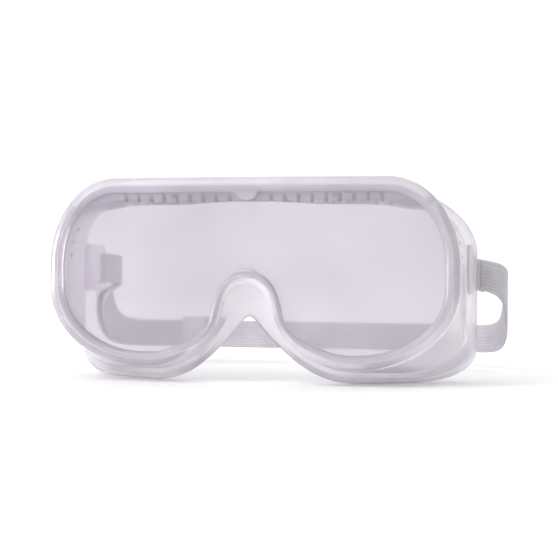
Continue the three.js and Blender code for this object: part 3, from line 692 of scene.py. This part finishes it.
def stitches():
    """A zigzag bar through both layers of the sewn end, seen on the outer and the inner face."""
    run = lengths(band_line)
    inner_mark = sewn_length - (BAND_WIDTH / 2 + LAYER_SPACING + SEWN_END * TACK_PLACE)
    inner_i = int(np.argmin(abs(run - inner_mark)))
    spot = band_line[inner_i]
    later = np.arange(len(band_line)) > inner_i + LAYER_STEPS
    far = np.where(later, np.linalg.norm(band_line - spot, axis=1), 1e9)
    outer_i = int(np.argmin(far))
    meshes = []
    for centre, side in ((inner_i, 1), (outer_i, 1), (inner_i, -1), (outer_i, -1)):
        for shift in (-TACK_SHIFT, TACK_SHIFT):
            points = []
            for k in range(STITCH_PASSES * STITCH_STEPS + 1):
                t = k / (STITCH_PASSES * STITCH_STEPS)
                v = -STITCH_HALF + 2 * STITCH_HALF * t
                wobble = (abs((t * STITCH_PASSES) % 2 - 1) - 0.5) * STITCH_WIDTH
                i = centre + shift + int(round(wobble))
                rise = THREAD_RISE * abs(math.sin(t * STITCH_PASSES * math.pi))
                points.append(band_at(i, v, side * (BAND_THICKNESS / 2 - THREAD_SINK + rise)))
            meshes.append(tube(points, THREAD_RADIUS))
    whole = bmesh.new()
    for part in meshes:
        whole.from_mesh(part)
        bpy.data.meshes.remove(part)
    bmesh.ops.holes_fill(whole, edges=[e for e in whole.edges if e.is_boundary])
    bmesh.ops.recalc_face_normals(whole, faces=whole.faces)
    mesh = bpy.data.meshes.new("bar_tack_stitches")
    whole.to_mesh(mesh)
    whole.free()
    smooth(mesh)
    return new_object("bar_tack_stitches", mesh)


elastic_headband = band_piece()
bar_tack = stitches()

# ---- Materials ---------------------------------------------------------------------------------

def material(name):
    mat = bpy.data.materials.new(name)
    mat.use_nodes = True
    tree = mat.node_tree
    tree.nodes.clear()
    shader = tree.nodes.new("ShaderNodeBsdfPrincipled")
    output = tree.nodes.new("ShaderNodeOutputMaterial")
    tree.links.new(shader.outputs["BSDF"], output.inputs["Surface"])
    return mat, tree, shader


def set_inputs(node, **values):
    for key, value in values.items():
        node.inputs[key.replace("_", " ")].default_value = value


def noise(tree, scale, detail, roughness=0.55, stretch=None):
    texture = tree.nodes.new("ShaderNodeTexNoise")
    set_inputs(texture, Scale=scale, Detail=detail, Roughness=roughness)
    place = tree.nodes.new("ShaderNodeTexCoord")
    if stretch:
        turn = tree.nodes.new("ShaderNodeMapping")
        set_inputs(turn, Scale=stretch)
        tree.links.new(place.outputs["Object"], turn.inputs["Vector"])
        tree.links.new(turn.outputs["Vector"], texture.inputs["Vector"])
    else:
        tree.links.new(place.outputs["Object"], texture.inputs["Vector"])
    return texture.outputs["Fac"]


def tint(tree, shader, fac, stops):
    """The base colour, ramped over fac between (position, colour) stops."""
    made = tree.nodes.new("ShaderNodeValToRGB")
    elements = made.color_ramp.elements
    while len(elements) < len(stops):
        elements.new(0.5)
    for element, (position, color) in zip(elements, stops):
        element.position = position
        element.color = (*color, 1)
    tree.links.new(fac, made.inputs["Fac"])
    tree.links.new(made.outputs["Color"], shader.inputs["Base Color"])


def vary_roughness(tree, shader, fac, low, high):
    made = tree.nodes.new("ShaderNodeMapRange")
    set_inputs(made, From_Min=0.3, From_Max=0.7, To_Min=low, To_Max=high)
    tree.links.new(fac, made.inputs["Value"])
    tree.links.new(made.outputs["Result"], shader.inputs["Roughness"])


def bump(tree, shader, height, strength, distance, below=None):
    made = tree.nodes.new("ShaderNodeBump")
    set_inputs(made, Strength=strength, Distance=distance)
    tree.links.new(height, made.inputs["Height"])
    if below:
        tree.links.new(below, made.inputs["Normal"])
    tree.links.new(made.outputs["Normal"], shader.inputs["Normal"])
    return made.outputs["Normal"]


def vinyl_material():
    mat, tree, shader = material("clear_soft_vinyl")
    tint(tree, shader, noise(tree, 38, 2), [(0.3, (0.80, 0.765, 0.82)), (0.7, (0.90, 0.865, 0.915))])
    set_inputs(shader, Transmission_Weight=0.74, IOR=1.36)
    vary_roughness(tree, shader, noise(tree, 220, 3), 0.12, 0.24)
    low = bump(tree, shader, noise(tree, 55, 2), 0.25, 0.0012)
    bump(tree, shader, noise(tree, 900, 2), 0.06, 0.0002, low)
    return mat


# Near-black vent hole walls: painted shade, so the vents read as dark holes in the clear vinyl.
def painted_vent_shade_material():
    mat, tree, shader = material("vent_wall_painted_shade")
    tint(tree, shader, noise(tree, 500, 2), [(0.3, (0.07, 0.065, 0.075)), (0.7, (0.14, 0.13, 0.145))])
    set_inputs(shader, Transmission_Weight=0.3, Roughness=0.4)
    bump(tree, shader, noise(tree, 1400, 2), 0.2, 0.0001)
    return mat


def lens_material():
    mat, tree, shader = material("clear_lens_sheet")
    tint(tree, shader, noise(tree, 16, 2), [(0.3, (0.63, 0.592, 0.655)), (0.7, (0.72, 0.678, 0.745))])
    set_inputs(shader, Transmission_Weight=0.78, IOR=1.49)
    vary_roughness(tree, shader, noise(tree, 90, 4, 0.6, (1, 1, 3)), 0.045, 0.09)
    bump(tree, shader, noise(tree, 14, 1.5), 0.12, 0.001)
    return mat


def elastic_material():
    mat, tree, shader = material("ribbed_elastic")
    place = tree.nodes.new("ShaderNodeUVMap")
    place.uv_map = "weave"

    def wave(scale, along, distortion):
        turn = tree.nodes.new("ShaderNodeMapping")
        set_inputs(turn, Rotation=(0, 0, 0 if along else math.pi / 2))
        tree.links.new(place.outputs["UV"], turn.inputs["Vector"])
        made = tree.nodes.new("ShaderNodeTexWave")
        made.bands_direction = "X"
        set_inputs(made, Scale=scale, Distortion=distortion, Detail=1.5)
        tree.links.new(turn.outputs["Vector"], made.inputs["Vector"])
        return made.outputs["Fac"]

    warp, weft = wave(2.3, False, 0.3), wave(3.6, True, 0.8)
    mixed = tree.nodes.new("ShaderNodeMath")
    mixed.operation = "MULTIPLY"
    tree.links.new(warp, mixed.inputs[0])
    tree.links.new(weft, mixed.inputs[1])
    joined = tree.nodes.new("ShaderNodeMath")
    joined.operation = "MULTIPLY_ADD"
    joined.inputs[1].default_value = 0.45
    tree.links.new(mixed.outputs[0], joined.inputs[0])
    tree.links.new(noise(tree, 60, 4), joined.inputs[2])
    tint(tree, shader, joined.outputs[0],
         [(0.25, (0.36, 0.34, 0.37)), (0.55, (0.47, 0.445, 0.49)), (0.95, (0.60, 0.57, 0.62))])
    set_inputs(shader, Roughness=0.82, Sheen_Weight=0.25, Sheen_Roughness=0.5)
    low = bump(tree, shader, mixed.outputs[0], 0.6, 0.00022)
    bump(tree, shader, noise(tree, 2600, 2), 0.35, 0.00008, low)
    return mat


def thread_material():
    mat, tree, shader = material("sewing_thread")
    tint(tree, shader, noise(tree, 900, 3), [(0.3, (0.50, 0.48, 0.52)), (0.7, (0.66, 0.64, 0.68))])
    set_inputs(shader, Roughness=0.6, Sheen_Weight=0.3)
    bump(tree, shader, noise(tree, 3200, 2, 0.6, (1, 1, 4)), 0.6, 0.0001)
    return mat


def slider_material():
    mat, tree, shader = material("moulded_slider")
    tint(tree, shader, noise(tree, 120, 3), [(0.3, (0.55, 0.53, 0.57)), (0.7, (0.62, 0.60, 0.64))])
    vary_roughness(tree, shader, noise(tree, 400, 3), 0.28, 0.42)
    set_inputs(shader, Subsurface_Weight=0.1, Subsurface_Radius=(0.002, 0.002, 0.002))
    bump(tree, shader, noise(tree, 1500, 2), 0.15, 0.0001)
    return mat


def floor_material():
    mat, tree, shader = material("pale_floor")
    tint(tree, shader, noise(tree, 2.5, 2), [(0.3, (0.90, 0.90, 0.905)), (0.7, (0.93, 0.93, 0.932))])
    set_inputs(shader, Roughness=0.7)
    return mat


def dress(obj, *materials):
    places = [face.material_index for face in obj.data.polygons]
    obj.data.materials.clear()
    for mat in materials:
        obj.data.materials.append(mat)
    obj.data.polygons.foreach_set("material_index", [min(k, len(materials) - 1) for k in places])


dress(vinyl_frame, vinyl_material(), painted_vent_shade_material())
dress(clear_window, lens_material())
dress(elastic_headband, elastic_material())
dress(bar_tack, thread_material())

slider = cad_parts["slider"]
slider_look = slider_material()
for socket in slider.material_slots:
    socket.material = slider_look
rounding = slider.modifiers.new("rounding", "BEVEL")
rounding.width = 0.00045
rounding.segments = 3
rounding.limit_method = "ANGLE"
rounding.harden_normals = False

# ---- Bodies ------------------------------------------------------------------------------------

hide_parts("frame")
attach(vinyl_frame, "frame")
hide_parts("lens")
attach(clear_window, "frame")

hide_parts("headband", "left_band_fold", "right_band_fold", "left_sewn_end",
            "right_adjusting_tail")
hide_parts("left_bar_tack")
for soft in (elastic_headband, bar_tack):
    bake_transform(soft)

# ---- Floor, light and camera -------------------------------------------------------------------

def sweep():
    """A floor that curves up into a backdrop, all round."""
    rings = [0.0, 0.3, 0.8, 1.6, 2.4, 3.0, 3.4, 3.7, 3.85, 3.9, 3.9]
    heights = [0, 0, 0, 0, 0, 0.05, 0.2, 0.5, 0.9, 1.5, 3.2]
    sides = 96
    bm = bmesh.new()
    lines = []
    for r, h in zip(rings[1:], heights[1:]):
        lines.append([bm.verts.new((r * math.cos(a), r * math.sin(a), h))
                      for a in np.linspace(0, 2 * math.pi, sides, endpoint=False)])
    centre = bm.verts.new((0, 0, 0))
    for k in range(sides):
        n = (k + 1) % sides
        bm.faces.new((centre, lines[0][k], lines[0][n]))
        for a, b in zip(lines, lines[1:]):
            bm.faces.new((a[k], b[k], b[n], a[n]))
    mesh = bpy.data.meshes.new("floor")
    bm.to_mesh(mesh)
    bm.free()
    smooth(mesh)
    return new_object("floor", mesh)


floor = sweep()
dress(floor, floor_material())


def area_light(name, place, aim, size, power):
    data = bpy.data.lights.new(name, "AREA")
    data.shape = "RECTANGLE"
    data.size, data.size_y = size
    data.energy = power
    obj = bpy.data.objects.new(name, data)
    obj.location = place
    obj.rotation_mode = "QUATERNION"
    obj.rotation_quaternion = (Vector(aim) - Vector(place)).to_track_quat("-Z", "Y")
    bpy.context.scene.collection.objects.link(obj)


middle = Vector((0, -0.015, 0.04))
area_light("key", (-0.9, -1.2, 1.3), middle, (1.4, 1.0), 12)
area_light("low_fill", (-1.2, -0.7, 0.14), middle, (0.8, 0.25), 12)
area_light("backdrop_light", (0, 1.4, 2.6), (0, 3.2, 0.2), (4.0, 1.6), 14)

world = bpy.data.worlds.new("studio")
world.use_nodes = True
world.node_tree.nodes["Background"].inputs["Color"].default_value = (1.0, 1.0, 1.0, 1)
world.node_tree.nodes["Background"].inputs["Strength"].default_value = 1.05
bpy.context.scene.world = world
bpy.context.scene.view_settings.view_transform = "Standard"

AZIMUTH, ELEVATION, DISTANCE, ROLL = 12.09, -0.33, 0.507, 0.54
FOCAL_PX, FRAME_PX, SENSOR = 1232.0, 558.0, 36
CENTRE_X_PX, CENTRE_Y_PX = 274.2, 277.3
AIM_BACK = 40
target = Vector(row((0, AIM_BACK, 0)))
a, e = math.radians(AZIMUTH), math.radians(ELEVATION)
back = Vector((math.sin(a) * math.cos(e), -math.cos(a) * math.cos(e), math.sin(e)))
camera = bpy.data.objects.new("camera", bpy.data.cameras.new("camera"))
bpy.context.scene.collection.objects.link(camera)
camera.rotation_mode = "QUATERNION"
camera.location = target + back * DISTANCE
roll = Matrix.Rotation(math.radians(ROLL), 4, "Z")
facing = (-back).to_track_quat("-Z", "Y").to_matrix().to_4x4()
camera.rotation_quaternion = (facing @ roll).to_quaternion()
camera.data.sensor_width = SENSOR
camera.data.lens = FOCAL_PX / FRAME_PX * SENSOR
camera.data.shift_x = (FRAME_PX / 2 - CENTRE_X_PX) / FRAME_PX
camera.data.shift_y = -(FRAME_PX / 2 - CENTRE_Y_PX) / FRAME_PX
camera.data.clip_start, camera.data.clip_end = 0.02, 20
bpy.context.scene.camera = camera
